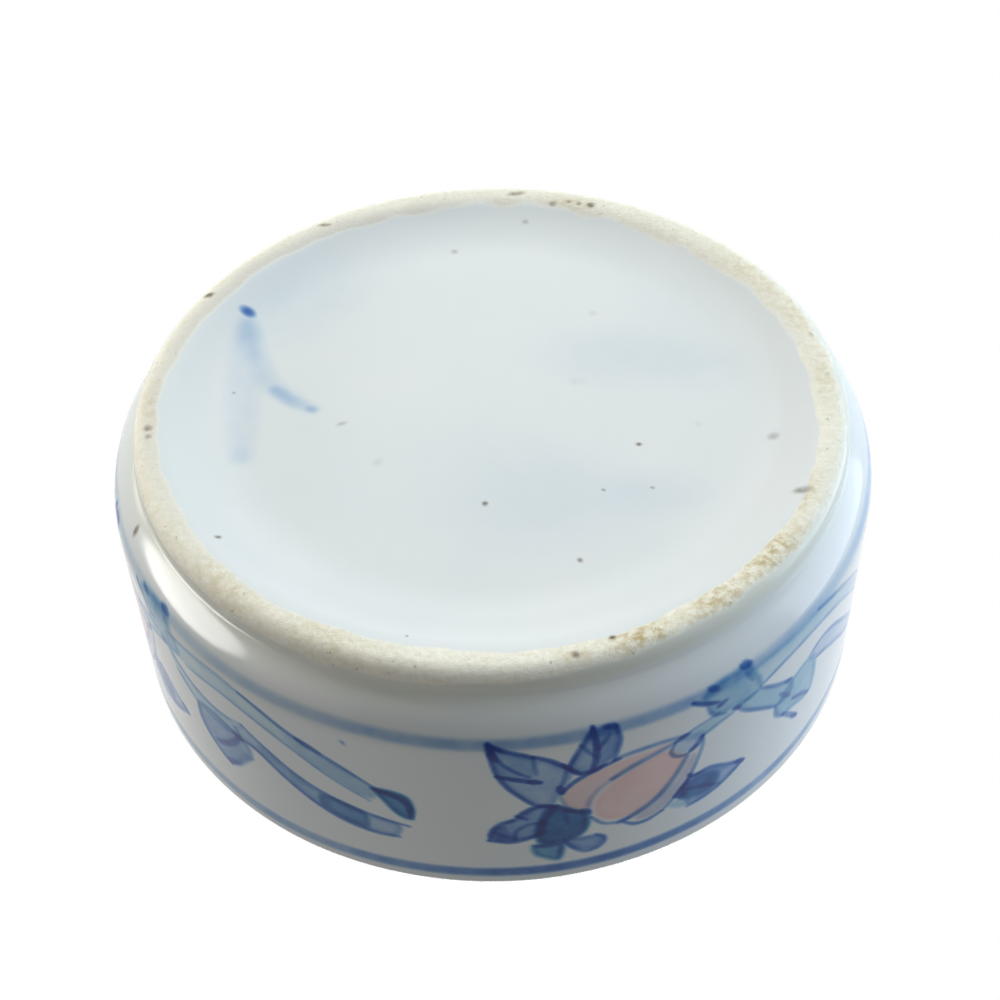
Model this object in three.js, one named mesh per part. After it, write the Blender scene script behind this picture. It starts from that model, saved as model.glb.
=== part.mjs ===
// A round glazed porcelain trinket box: a straight-sided body on a low unglazed foot ring,
// and a low domed lid that rests on the rim and is located by a flange inside the mouth.
// Millimetres, +Z up, origin at the centre of the foot ring's resting plane.
import * as THREE from "three";

// Body, outside
const wallRadius = 38;
const bodyHeight = 28.3;
const shoulderTop = 7.6;
const rimOuterRound = 0.7;
const rimInnerRound = 0.5;

// Foot ring and the recess inside it
const footInset = 2.8;
const footRadius = wallRadius - footInset;
const footHeight = 2.7;
const footOuterRound = 1.6;
const footFlatWidth = 0.4;
const recessLip = 2.2;
const recessHollow = 7;
const recessTiltDegrees = 18;

// Body, inside
const wallThickness = 3.4;
const floorThickness = 3.4;
const floorFillet = 3;

// Lid
const lidInset = 1.8;
const lidRise = 8.2;
const lidEdgeHeight = 2.4;
const lidTopRound = 0.9;
const lidBottomRound = 0.4;
const lidThickness = 3;
const flangeWidth = 2.4;
const flangeDepth = 3;
const flangeRound = 0.6;

// Clearances
const seatGap = 0.3;
const flangeClearance = 0.5;

// Facets
const turnSteps = 72;
const roundSteps = 4;
const shoulderSteps = 8;
const hollowSteps = 8;
const lipSteps = 3;
const domeSteps = 9;

// Points along a circular arc in the profile plane (radius, height), angles in degrees.
function arc(centreR, centreZ, radius, fromDegrees, toDegrees, steps) {
  const points = [];
  for (let i = 0; i <= steps; i += 1) {
    const angle = THREE.MathUtils.degToRad(
      fromDegrees + ((toDegrees - fromDegrees) * i) / steps,
    );
    points.push(
      new THREE.Vector2(
        centreR + radius * Math.cos(angle),
        centreZ + radius * Math.sin(angle),
      ),
    );
  }
  return points;
}

// A solid of revolution about Z from a profile that starts and ends on the axis.
function turned(name, profile, colour, roughness) {
  const geometry = new THREE.LatheGeometry(profile, turnSteps);
  geometry.rotateX(Math.PI / 2);
  const material = new THREE.MeshStandardMaterial({
    color: new THREE.Color(...colour),
    roughness,
    metalness: 0,
  });
  const mesh = new THREE.Mesh(geometry, material);
  mesh.name = name;
  return mesh;
}

// The shoulder: one arc from the foot's outer edge that ends upright on the wall.
function shoulderArc() {
  const out = wallRadius - footRadius;
  const up = shoulderTop - footHeight;
  const radius = (out * out + up * up) / (2 * out);
  const startDegrees = THREE.MathUtils.radToDeg(Math.atan2(-up, radius - out));
  return arc(wallRadius - radius, shoulderTop, radius, startDegrees, 0, shoulderSteps);
}

// How far the base of the recess lies above the crest: what its two arcs rise together.
function recessDepth() {
  return (recessHollow + recessLip) * Math.tan(THREE.MathUtils.degToRad(recessTiltDegrees) / 2);
}

// From the base of the recess out to the foot's flat crest: a long hollow arc, then a short
// rounded lip. Both are steepest where they meet, and level at their other ends.
function recessSlope() {
  const crestRadius = footRadius - footOuterRound - footFlatWidth;
  const slopeStart = crestRadius - recessLip - recessHollow;
  const sine = Math.sin(THREE.MathUtils.degToRad(recessTiltDegrees));
  const hollowRadius = recessHollow / sine;
  const lipRadius = recessLip / sine;
  return [
    ...arc(slopeStart, recessDepth() - hollowRadius, hollowRadius, 90, 90 - recessTiltDegrees, hollowSteps),
    ...arc(crestRadius, lipRadius, lipRadius, 270 - recessTiltDegrees, 270, lipSteps).slice(1),
  ];
}

// Outer profile from the centre of the underside, round the foot and up to the rim,
// then down inside to the centre of the floor.
function bodyProfile() {
  const innerRadius = wallRadius - wallThickness;
  const floorTop = recessDepth() + floorThickness;
  return [
    new THREE.Vector2(0, recessDepth()),
    ...recessSlope(),
    ...arc(footRadius - footOuterRound, footOuterRound, footOuterRound, -90, 0, roundSteps),
    ...shoulderArc(),
    ...arc(wallRadius - rimOuterRound, bodyHeight - rimOuterRound, rimOuterRound, 0, 90, roundSteps),
    ...arc(innerRadius + rimInnerRound, bodyHeight - rimInnerRound, rimInnerRound, 90, 180, roundSteps),
    ...arc(innerRadius - floorFillet, floorTop + floorFillet, floorFillet, 0, -90, roundSteps + 2),
    new THREE.Vector2(0, floorTop),
  ];
}

// The lid's outer dome is part of a sphere through the top of its edge and its apex,
// and the hollow under it is the same sphere set in by the lid's thickness.
function lidProfile() {
  const seat = bodyHeight + seatGap;
  const edgeRadius = wallRadius - lidInset;
  const flangeOuter = wallRadius - wallThickness - flangeClearance;
  const flangeInner = flangeOuter - flangeWidth;
  const flangeBottom = seat - flangeDepth;

  const domeEdge = edgeRadius - lidTopRound;
  const sagitta = lidRise - lidEdgeHeight;
  const domeRadius = (domeEdge * domeEdge + sagitta * sagitta) / (2 * sagitta);
  const domeCentre = seat + lidRise - domeRadius;
  const domeEdgeDegrees = THREE.MathUtils.radToDeg(Math.acos(domeEdge / domeRadius));

  const hollowRadius = domeRadius - lidThickness;
  const hollowEdgeDegrees = THREE.MathUtils.radToDeg(Math.acos(flangeInner / hollowRadius));

  return [
    ...arc(0, domeCentre, hollowRadius, 90, hollowEdgeDegrees, domeSteps),
    ...arc(flangeInner + flangeRound, flangeBottom + flangeRound, flangeRound, 180, 270, roundSteps),
    ...arc(flangeOuter - flangeRound, flangeBottom + flangeRound, flangeRound, -90, 0, roundSteps),
    new THREE.Vector2(flangeOuter, seat),
    ...arc(edgeRadius - lidBottomRound, seat + lidBottomRound, lidBottomRound, -90, 0, roundSteps),
    ...arc(domeEdge, seat + lidEdgeHeight - lidTopRound, lidTopRound, 0, domeEdgeDegrees, roundSteps),
    ...arc(0, domeCentre, domeRadius, domeEdgeDegrees, 90, domeSteps),
  ].map((point) => new THREE.Vector2(Math.max(point.x, 0), point.y));
}

const trinketBox = new THREE.Group();
trinketBox.add(turned("box_body", bodyProfile(), [0.8, 0.84, 0.86], 0.12));
trinketBox.add(turned("lid", lidProfile(), [0.82, 0.86, 0.88], 0.12));

export default trinketBox;
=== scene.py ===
"""Dresses a round glazed porcelain trinket box: body, lid, painted sprays, glaze and bare foot ring."""
import math

import bpy
import numpy as np
from mathutils import Matrix, Vector

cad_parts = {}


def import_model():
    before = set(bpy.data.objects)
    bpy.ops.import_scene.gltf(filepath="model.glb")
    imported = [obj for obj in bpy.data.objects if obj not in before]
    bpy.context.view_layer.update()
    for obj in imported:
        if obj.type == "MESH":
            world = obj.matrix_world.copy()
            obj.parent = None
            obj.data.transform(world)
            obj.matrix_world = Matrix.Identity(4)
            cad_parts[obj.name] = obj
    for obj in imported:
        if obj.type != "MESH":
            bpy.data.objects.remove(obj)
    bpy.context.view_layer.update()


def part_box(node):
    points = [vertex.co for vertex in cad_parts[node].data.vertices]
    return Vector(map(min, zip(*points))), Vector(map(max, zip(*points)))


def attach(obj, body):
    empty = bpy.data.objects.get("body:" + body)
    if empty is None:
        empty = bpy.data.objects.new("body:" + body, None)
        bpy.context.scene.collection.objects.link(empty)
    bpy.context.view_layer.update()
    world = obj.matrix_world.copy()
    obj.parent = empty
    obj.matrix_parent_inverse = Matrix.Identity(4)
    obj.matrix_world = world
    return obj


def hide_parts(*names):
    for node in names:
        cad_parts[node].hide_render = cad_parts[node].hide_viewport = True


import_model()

MM = 0.001

# Sizes in millimetres.
BODY_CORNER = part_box("box_body")[1] / MM
LID_FOOT, LID_CORNER = (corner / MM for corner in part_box("lid"))
WALL_RADIUS = BODY_CORNER.x
BODY_HEIGHT = BODY_CORNER.z
LID_RADIUS = LID_CORNER.x
LID_TOP = LID_CORNER.z
FLANGE_BOTTOM = LID_FOOT.z

SHOULDER_TOP = 7.6
FOOT_INSET = 2.8
FOOT_RADIUS = WALL_RADIUS - FOOT_INSET
FOOT_HEIGHT = 2.7
FOOT_OUTER_ROUND = 1.6
FOOT_FLAT_WIDTH = 0.4
CREST_RADIUS = FOOT_RADIUS - FOOT_OUTER_ROUND - FOOT_FLAT_WIDTH
RECESS_TILT = 18.0
RECESS_HOLLOW = 7.0
RECESS_LIP = 2.2
RECESS_DEPTH = (RECESS_HOLLOW + RECESS_LIP) * math.tan(math.radians(RECESS_TILT) / 2)
WALL_THICKNESS = 3.4
FLOOR_THICKNESS = 3.4
FLOOR_TOP = RECESS_DEPTH + FLOOR_THICKNESS
FLOOR_FILLET = 3.0
RIM_OUTER_ROUND = 0.7
RIM_INNER_ROUND = 0.5
INNER_RADIUS = WALL_RADIUS - WALL_THICKNESS

SEAT_GAP = 0.3
SEAT = BODY_HEIGHT + SEAT_GAP
LID_EDGE_HEIGHT = 2.4
LID_TOP_ROUND = 0.9
LID_BOTTOM_ROUND = 0.4
LID_THICKNESS = 3.0
FLANGE_CLEARANCE = 0.5
FLANGE_WIDTH = 2.4
FLANGE_OUTER = INNER_RADIUS - FLANGE_CLEARANCE
FLANGE_INNER = FLANGE_OUTER - FLANGE_WIDTH
FLANGE_ROUND = 0.6

# The meshes: points in one turn, the longest steps of the profiles, and how near the axis a ring may lie
TURN_STEPS = 1200
PAINTED_STEP = 0.18
BASE_STEP = 0.2
ROUND_STEP = 0.3
RIM_STEP = 0.4
LID_UNDER_STEP = 1.2
INSIDE_STEP = 2.0
AXIS_GAP = 0.1

# The painting: sprays round the wall, the height that the strokes' own heights start from, and the most
# pigment that crossing strokes leave. Lines are drawn finer, by the last value, than the widths given.
SPRAYS = 4
SPRAY_PITCH = 2 * math.pi * WALL_RADIUS / SPRAYS
CHART_BASE = 0.6
FULLEST_LOAD = 1.7
LINE_FINENESS = 0.8

# Where paint may lie: this far in from the wall, this far above the foot, and marks up to this height
PAINT_DEPTH = 3.0
PAINT_START = 0.3
MARKS_TOP = 5.1

# The two lines round the wall: their heights from CHART_BASE, the angles where the brush was dipped, and
# how much it still gives when it has run dry
UPPER_LINE = 5.25
LOWER_LINE = 25.4
BRUSH_DIPS = (0.15, 2.1, -2.2)
DRY_BRUSH = 0.36

# The lid's lines: how far in from the edge the one on the dome is, and how high the one on the edge is
LID_DOME_LINE = 3.2
LID_EDGE_LINE = 1.1
PETALS = 5
FIRST_PETAL = 0.3

# The mean radius where the bare clay starts on the underside
CLAY_INNER_RADIUS = 31.87

# Colours in plain light. A pigment is what one full brush leaves of the white under it.
GLAZE = (0.72, 0.77, 0.78)
GLAZE_CLOUD = (0.69, 0.755, 0.765)
COBALT = (0.045, 0.145, 0.50)
TEAL = (0.035, 0.20, 0.48)
PINK = (1.0, 0.66, 0.63)
THIN_GLAZE = (1.0, 0.98, 0.86)
BISCUIT = (0.95, 0.96, 0.86)
BISCUIT_SHADE = (0.78, 0.78, 0.62)
# The bare clay's painted shade, where the ring turns away from the light
BISCUIT_PAINTED_SHADE = (0.66, 0.66, 0.60)
OCHRE = (0.50, 0.39, 0.15)
IRON = (0.14, 0.10, 0.06)

# The camera, placed so that the outline and the painted lines fall as in the photograph
LENS = 62.1
SENSOR_WIDTH = 36.0
CAMERA_PLACE = (-0.62, -125.49, -115.06)
CAMERA_RIGHT = (-0.9995, -0.0226, 0.0218)
CAMERA_FORWARD = (0.0, 0.6942, 0.7197)

# Lamps: name, place in metres, size in metres, watts, colour
LAMPS = [
    ("window_behind", (-0.30, 0.78, -1.16), (1.1, 1.1), 9.8, (0.97, 1.0, 0.985)),
    ("window_left", (0.5, 0.4, -0.3), (0.35, 0.35), 4.0, (1.0, 0.93, 0.85)),
    ("window_right", (-0.62, 0.12, -0.10), (0.5, 0.5), 4.6, (0.76, 0.86, 1.0)),
    ("room_front", (0.5, -0.4, -0.1), (0.35, 0.35), 0.6, (1.0, 0.9, 0.85)),
    ("ceiling", (0.0, 0.0, 0.8), (0.5, 0.5), 3.4, (1.0, 0.99, 0.97)),
]

# A bright patch at the picture's left that only reflections show, in the same order
GLOW = ("window_glow", (0.58, -0.02, -0.14), (0.42, 0.42), 12.0, (1.0, 0.96, 0.93))

# The even light on the object from all round
AMBIENT = 0.2

# The floor: half its side in metres, and how far under the foot its top lies
FLOOR_HALF = 1.5
FLOOR_DROP = 0.02


# Profiles

def arc(centre_r, centre_z, radius, start, end, steps):
    """Points of an arc in the profile plane (radius, height), angles in degrees."""
    angles = np.radians(np.linspace(start, end, steps + 1))
    return [(centre_r + radius * math.cos(a), centre_z + radius * math.sin(a)) for a in angles]


def resampled(points, step):
    """The same outline with no part longer than step."""
    fine = [points[0]]
    for (r0, z0), (r1, z1) in zip(points, points[1:]):
        length = math.hypot(r1 - r0, z1 - z0)
        count = max(1, math.ceil(length / step))
        fine += [(r0 + (r1 - r0) * k / count, z0 + (z1 - z0) * k / count) for k in range(1, count + 1)]
    return fine


def recess_slope(steps):
    """From the base of the recess out to the ring's crest: a long hollow arc, then a short rounded lip."""
    sine = math.sin(math.radians(RECESS_TILT))
    hollow_radius = RECESS_HOLLOW / sine
    lip_radius = RECESS_LIP / sine
    slope_start = CREST_RADIUS - RECESS_LIP - RECESS_HOLLOW
    return (
        arc(slope_start, RECESS_DEPTH - hollow_radius, hollow_radius, 90, 90 - RECESS_TILT, steps)
        + arc(CREST_RADIUS, lip_radius, lip_radius, 270 - RECESS_TILT, 270, steps)
    )


def shoulder_arc(steps):
    """From the foot's outer edge up to the wall, upright where it meets the wall."""
    out = WALL_RADIUS - FOOT_RADIUS
    up = SHOULDER_TOP - FOOT_HEIGHT
    radius = (out * out + up * up) / (2 * out)
    start = math.degrees(math.atan2(-up, radius - out))
    return arc(WALL_RADIUS - radius, SHOULDER_TOP, radius, start, 0, steps)


def body_profile():
    """From the centre of the underside, round the foot and the rim, to the centre of the floor."""
    base = [(0.0, RECESS_DEPTH)] + recess_slope(24)
    foot = arc(FOOT_RADIUS - FOOT_OUTER_ROUND, FOOT_OUTER_ROUND, FOOT_OUTER_ROUND, -90, 0, 12)
    wall = [(WALL_RADIUS, SHOULDER_TOP), (WALL_RADIUS, BODY_HEIGHT - RIM_OUTER_ROUND)]
    rim = (
        arc(WALL_RADIUS - RIM_OUTER_ROUND, BODY_HEIGHT - RIM_OUTER_ROUND, RIM_OUTER_ROUND, 0, 90, 6)
        + arc(INNER_RADIUS + RIM_INNER_ROUND, BODY_HEIGHT - RIM_INNER_ROUND, RIM_INNER_ROUND, 90, 180, 5)
    )
    cavity = (
        arc(INNER_RADIUS - FLOOR_FILLET, FLOOR_TOP + FLOOR_FILLET, FLOOR_FILLET, 0, -90, 8)
        + [(0.0, FLOOR_TOP)]
    )
    return (
        resampled(base, BASE_STEP)
        + resampled(foot, ROUND_STEP)
        + resampled(shoulder_arc(14), ROUND_STEP)
        + resampled(wall, PAINTED_STEP)
        + resampled(rim, RIM_STEP)
        + resampled(cavity, INSIDE_STEP)
    )


def lid_profile():
    """From the centre of the hollow, round the flange and the edge, to the apex."""
    dome_edge = LID_RADIUS - LID_TOP_ROUND
    sagitta = LID_TOP - SEAT - LID_EDGE_HEIGHT
    dome_radius = (dome_edge ** 2 + sagitta ** 2) / (2 * sagitta)
    dome_centre = LID_TOP - dome_radius
    dome_start = math.degrees(math.acos(dome_edge / dome_radius))
    hollow_radius = dome_radius - LID_THICKNESS
    hollow_end = math.degrees(math.acos(FLANGE_INNER / hollow_radius))
    under = (
        arc(0, dome_centre, hollow_radius, 90, hollow_end, 18)
        + arc(FLANGE_INNER + FLANGE_ROUND, FLANGE_BOTTOM + FLANGE_ROUND, FLANGE_ROUND, 180, 270, 5)
        + arc(FLANGE_OUTER - FLANGE_ROUND, FLANGE_BOTTOM + FLANGE_ROUND, FLANGE_ROUND, -90, 0, 5)
        + [(FLANGE_OUTER, SEAT)]
        + arc(LID_RADIUS - LID_BOTTOM_ROUND, SEAT + LID_BOTTOM_ROUND, LID_BOTTOM_ROUND, -90, 0, 4)
        + arc(dome_edge, SEAT + LID_EDGE_HEIGHT - LID_TOP_ROUND, LID_TOP_ROUND, 0, dome_start, 5)
    )
    dome = arc(0, dome_centre, dome_radius, dome_start, 90, 60)
    return resampled(under, LID_UNDER_STEP) + resampled(dome, ROUND_STEP)


def without_repeats(points):
    """The outline without the points that lie on the one before them."""
    kept = [points[0]]
    for point in points[1:]:
        if math.dist(point, kept[-1]) > 1e-4:
            kept.append(point)
    return kept


# Brush strokes

def curve(points, closed=False, steps=10):
    """A smooth line through the given points."""
    p = np.array(points, float)
    if closed:
        p = np.vstack([p[-1], p, p[0], p[1]])
    else:
        p = np.vstack([2 * p[0] - p[1], p, 2 * p[-1] - p[-2]])
    t = np.linspace(0, 1, steps, endpoint=False)[:, None]
    parts = []
    for a, b, c, d in zip(p, p[1:], p[2:], p[3:]):
        bend = 2 * a - 5 * b + 4 * c - d
        twist = 3 * b - a - 3 * c + d
        parts.append(0.5 * (2 * b + (c - a) * t + bend * t ** 2 + twist * t ** 3))
    smooth = np.vstack(parts)
    return smooth if closed else np.vstack([smooth, p[-2]])


def near(points, line, reach):
    """Which points lie within reach of the line's box."""
    low = line.min(0) - reach
    high = line.max(0) + reach
    return np.nonzero(((points >= low) & (points <= high)).all(1))[0]


def distance_along(points, line):
    """Distance from each point to the line, and how far along the line the nearest place is, 0 to 1."""
    best = np.full(len(points), np.inf)
    along = np.zeros(len(points))
    total = len(line) - 1
    for k in range(total):
        a = line[k]
        d = line[k + 1] - a
        square = max(float(d @ d), 1e-12)
        t = np.clip(((points - a) @ d) / square, 0, 1)
        gap = np.hypot(*(points - a - t[:, None] * d).T)
        closer = gap < best
        best[closer] = gap[closer]
        along[closer] = (k + t[closer]) / total
    return best, along


def inside(points, outline):
    """Whether each point lies inside a closed outline."""
    x, y = points.T
    result = np.zeros(len(points), bool)
    for (x0, y0), (x1, y1) in zip(outline, np.roll(outline, -1, 0)):
        if y0 == y1:
            continue
        crosses = (y0 > y) != (y1 > y)
        result ^= crosses & (x < (x1 - x0) * (y - y0) / (y1 - y0) + x0)
    return result


def smoothstep(low, high, value):
    t = np.clip((value - low) / (high - low), 0, 1)
    return t * t * (3 - 2 * t)


class Painting:
    """Pigment on a set of surface points. Its unit is a full brush, and strokes that cross add up."""

    def __init__(self, points):
        self.points = points
        self.layers = {name: np.zeros(len(points)) for name in ("cobalt", "teal", "pink")}
        self.shift = 0.0

    def moved(self, line):
        return line + np.array([self.shift, 0.0])

    def lay(self, layer, index, amount):
        self.layers[layer][index] = np.minimum(self.layers[layer][index] + amount, FULLEST_LOAD)

    def line(self, points, width=0.45, load=0.6, layer="cobalt", soft=0.24, thin=0.4):
        """A brush line, widest in its middle, thin at both ends and fuller where the brush set down."""
        path = self.moved(curve(points))
        index = near(self.points, path, width + soft + 0.2)
        if not len(index):
            return
        gap, along = distance_along(self.points[index], path)
        swell = thin + (1 - thin) * np.sqrt(np.sin(np.pi * np.clip(along, 0.02, 0.98)))
        edge = LINE_FINENESS * width * swell / 2
        full = load * (1.35 - 0.3 * along)
        self.lay(layer, index, full * (1 - smoothstep(edge - soft / 2, edge + soft, gap)))

    def wash(self, points, load=0.5, layer="teal", soft=0.5, pool=0.2):
        """A filled area with a soft edge, where the pigment pools a little along its outline."""
        outline = self.moved(curve(points, closed=True))
        index = near(self.points, outline, soft + 0.2)
        if not len(index):
            return
        here = self.points[index]
        gap, _ = distance_along(here, np.vstack([outline, outline[0]]))
        signed = np.where(inside(here, outline), -gap, gap)
        body = 1 - smoothstep(-soft / 2, soft / 2, signed)
        rim = np.exp(-((signed + 0.35) / 0.3) ** 2)
        self.lay(layer, index, load * body * (1 - pool + 2 * pool * rim))


# The spray. Places are in millimetres: along the wall from the spray's first leaf, and up from CHART_BASE.
# Above, below, left and right are said as in the photograph, where the box is upside down. A wash has its
# load, pigment, softness and pooling after its outline, and a line its width and load after its points.

def paint_bud(art):
    """A pink bud of three petals that hangs from the stem on its right."""
    art.wash([(5.4, 13.8), (6.8, 12), (9, 10.8), (12, 10.1), (15.8, 10.1), (12.8, 11.2), (10.2, 12.6),
              (8.6, 14.4), (7.9, 16.3), (6.9, 16.6), (5.8, 15.6)], 0.8, "pink", 0.8, 0.1)
    art.wash([(8.3, 16.8), (8.8, 14.8), (10.2, 13.2), (12.4, 11.8), (15.2, 11), (16.4, 12), (17.4, 13.2),
              (16.6, 15.2), (14.8, 17.6), (12.6, 19.2), (10.4, 19.3), (8.9, 18.4)],
             0.95, "pink", 0.9, 0.1)
    art.wash([(12, 20), (14.2, 18.6), (16.2, 16.4), (17.6, 13.8), (18.4, 12.4), (18.6, 14.2),
              (17.8, 16.8), (16.2, 19.2), (14.4, 20.7), (12.8, 20.7)], 0.42, "pink", 0.6, 0.0)
    art.wash([(12.6, 20), (16.2, 16.6), (18, 13.4), (18.4, 15), (16.6, 18.8), (14.2, 20.6)],
             0.14, "cobalt", 0.8, 0.0)
    art.wash([(5.8, 14.4), (8, 12.4), (9.4, 12), (8.2, 15), (7, 16.4)], 0.03, "cobalt", 0.9, 0.0)
    art.line([(5.3, 13.3), (6.6, 11.8), (8.6, 10.6), (10.6, 9.9)], 0.5, 0.7)
    art.line([(10.2, 9.8), (12, 9.5), (14.6, 9.5), (17, 9.9)], 0.4, 0.42, soft=0.4)
    art.line([(5.2, 13.2), (5.4, 14.6), (6.2, 16.2), (7.4, 16.9)], 0.35, 0.22)
    art.line([(7.8, 17), (7.9, 15.4), (8.8, 13.8), (10.4, 12.5)], 0.4, 0.2, soft=0.4)
    art.line([(10, 12.7), (12, 11.6), (14, 10.9), (15.8, 10.4)], 0.55, 0.42, soft=0.4)
    art.line([(8.1, 18), (9.2, 19.4), (10.6, 19.9), (11.8, 19.8)], 0.35, 0.42)
    art.line([(10.8, 20), (12.6, 19.3), (14.6, 17.9), (16.2, 15.8), (17.4, 13.3)], 0.55, 0.5, soft=0.4)
    art.line([(11.3, 20.2), (12.4, 21), (13.7, 21.1), (15.2, 20.5)], 0.45, 0.55)
    art.line([(15.2, 20.5), (16.8, 18.7), (18, 16.6), (18.7, 14.4), (19.1, 12.4), (18.9, 11.2)],
             0.4, 0.34)
    art.line([(17.8, 12.6), (18.5, 12.1), (19, 11.2)], 0.75, 0.6)
    art.line([(16, 10.6), (15.7, 11.6), (16.3, 12.6), (17.5, 12.9), (18.4, 12.2)], 0.4, 0.42)
    art.wash([(16, 10.4), (18.6, 10.3), (19, 11.2), (17.8, 12.4), (16.4, 12.2)], 0.18, "cobalt", 0.7, 0.0)
    art.line([(16.1, 10.3), (17.4, 9.9)], 0.75, 0.55)


def paint_left_leaf(art):
    """The leaf behind the bud on its left, with the veins drawn in."""
    art.wash([(-1.1, 5.6), (0.4, 6.3), (2.4, 7.2), (4.2, 8.1), (5.8, 9.6), (6.3, 10.9), (5.3, 13),
              (4.6, 15), (3, 14.8), (1.6, 13.4), (0.2, 11.4), (-0.6, 9)], 0.36, "cobalt", 0.6)
    art.wash([(-1, 6), (0.8, 6.8), (2.8, 7.4), (2.9, 10), (1.4, 11), (0, 10), (-0.7, 8)],
             0.14, "teal", 0.7)
    art.line([(-1.2, 5.5), (0.2, 6.3), (2, 7), (2.8, 7.5)], 0.5, 0.7)
    art.line([(2.8, 7.3), (4.2, 8.1), (5.2, 9), (6, 9.8)], 0.5, 0.7)
    art.line([(-1.1, 5.6), (-0.9, 7.6), (-0.4, 9.8), (0.4, 11.6), (1.4, 13), (2.8, 14.6), (4.2, 15.2)],
             0.45, 0.6)
    art.line([(-1.1, 5.5), (-0.9, 6.6), (-0.5, 7.6)], 0.9, 0.5)
    art.line([(-0.9, 6.2), (0.1, 8.2), (1.2, 9.4), (2.4, 10.3)], 0.4, 0.5)
    art.line([(-0.4, 10), (1, 10.5), (2.2, 10.9), (3.4, 11.3)], 0.6, 0.75)
    art.line([(2.4, 11), (3.3, 11.2)], 0.9, 0.4)
    art.line([(2.8, 7.6), (2.9, 8.8), (3.1, 10)], 0.35, 0.32)
    art.line([(5.8, 9.6), (5.5, 11.4), (5.1, 12.8)], 0.4, 0.35)
    art.line([(5.1, 12.4), (5.4, 13.4)], 0.9, 0.5)
    art.line([(5.4, 9), (6.2, 10), (7, 10.9)], 0.55, 0.5)


def paint_top_leaf(art):
    """The dark upright leaf above the bud."""
    art.wash([(6, 9.8), (6.8, 7.4), (7.8, 5.5), (9, 5), (10.3, 5.1), (10.6, 7), (10.2, 9.2), (9, 10.2),
              (7.4, 10.9)], 0.4, "cobalt", 0.5)
    art.wash([(7.8, 5.4), (10.2, 5.2), (10.5, 7), (9.9, 9.2), (8.6, 9.6), (8.2, 7.6)],
             0.22, "cobalt", 0.7, 0.0)
    art.line([(5.9, 9.7), (6.7, 7.6), (7.6, 5.8), (8.2, 5)], 0.5, 0.62)
    art.line([(10.2, 5.2), (10.6, 7), (10.3, 9), (10.1, 9.9)], 0.45, 0.42)
    art.line([(8.1, 4.9), (8.4, 7), (8.4, 9), (8.1, 10.6)], 0.65, 0.7)
    art.line([(8.5, 7.7), (9.2, 6.7), (9.6, 6)], 0.45, 0.4)
    art.line([(7, 6.6), (7.6, 7.6), (8.3, 8.6)], 0.4, 0.4)
    art.line([(9.2, 5.1), (10.3, 5.3)], 0.6, 0.5)
    art.line([(5.8, 9.6), (6.8, 10.7), (8.2, 10.8), (9.2, 10.2)], 0.5, 0.55)


def paint_lower_leaves(art):
    """The leaves at the bud's tip: a blue one, a dark one beside it, and two short ones below them."""
    art.wash([(4.9, 15.2), (3, 15), (1.4, 16.2), (0, 17.2), (-1.1, 18.4), (-1.3, 19.8), (0.8, 20.2),
              (3.4, 19.6), (4.2, 17.2)], 0.56, "cobalt", 0.6)
    art.wash([(-1.1, 18.2), (0, 17.7), (0.5, 18.8), (1.2, 20), (-0.6, 20.2), (-1.3, 19.6)],
             0.35, "cobalt", 0.6, 0.0)
    art.line([(4.8, 15.2), (3.2, 15), (1.9, 15.7), (1.3, 16.4)], 0.55, 0.65)
    art.line([(1.2, 16.2), (2.2, 16.9)], 0.4, 0.4)
    art.line([(0.9, 16.9), (-0.4, 17.5), (-1.1, 18.8), (-1.3, 20)], 0.5, 0.55)
    art.line([(-1.4, 20.1), (0.6, 20.4), (2.2, 20), (3.8, 19.2)], 0.55, 0.65)
    art.line([(1, 20), (1.2, 18.7), (2.2, 17.8), (3.8, 17.6)], 0.45, 0.42)
    art.line([(-0.7, 18.9), (0.4, 19.6)], 0.55, 0.35)

    art.wash([(4.2, 15.2), (5.8, 15.8), (7.6, 17.1), (7.9, 18.8), (7.3, 20.4), (5.8, 21.1), (3.4, 21),
              (2.9, 19), (3.4, 16.8)], 1.25, "teal", 0.8, 0.08)
    art.line([(5, 15.2), (6.2, 16.4), (7.9, 17)], 0.5, 0.5)
    art.line([(7.3, 16.6), (7.9, 17.3)], 0.95, 0.5)
    art.line([(5.6, 16.4), (5.8, 17.4), (5.9, 18.3)], 0.5, 0.3)

    art.wash([(5.7, 20.9), (7.4, 20.9), (9, 21.1), (9.5, 22.2), (8.6, 23.3), (7, 23), (5.9, 21.9)],
             0.48, "cobalt", 0.6)
    art.line([(5.6, 20.9), (6.2, 22.2), (7.5, 23.4), (8.7, 23.3), (9.4, 22.6), (9.4, 21.7), (8.6, 21)],
             0.45, 0.45)
    art.wash([(2.8, 21.2), (5.4, 21.1), (5.6, 22.8), (5.1, 24.2), (3.6, 23.5), (2.7, 22.6)],
             0.72, "teal", 0.8)
    art.line([(2.7, 21.3), (4, 21.6), (5.6, 21.4)], 0.5, 0.35)
    art.line([(5.3, 21.8), (5.2, 22.8), (5, 23.8)], 0.6, 0.22)


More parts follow.
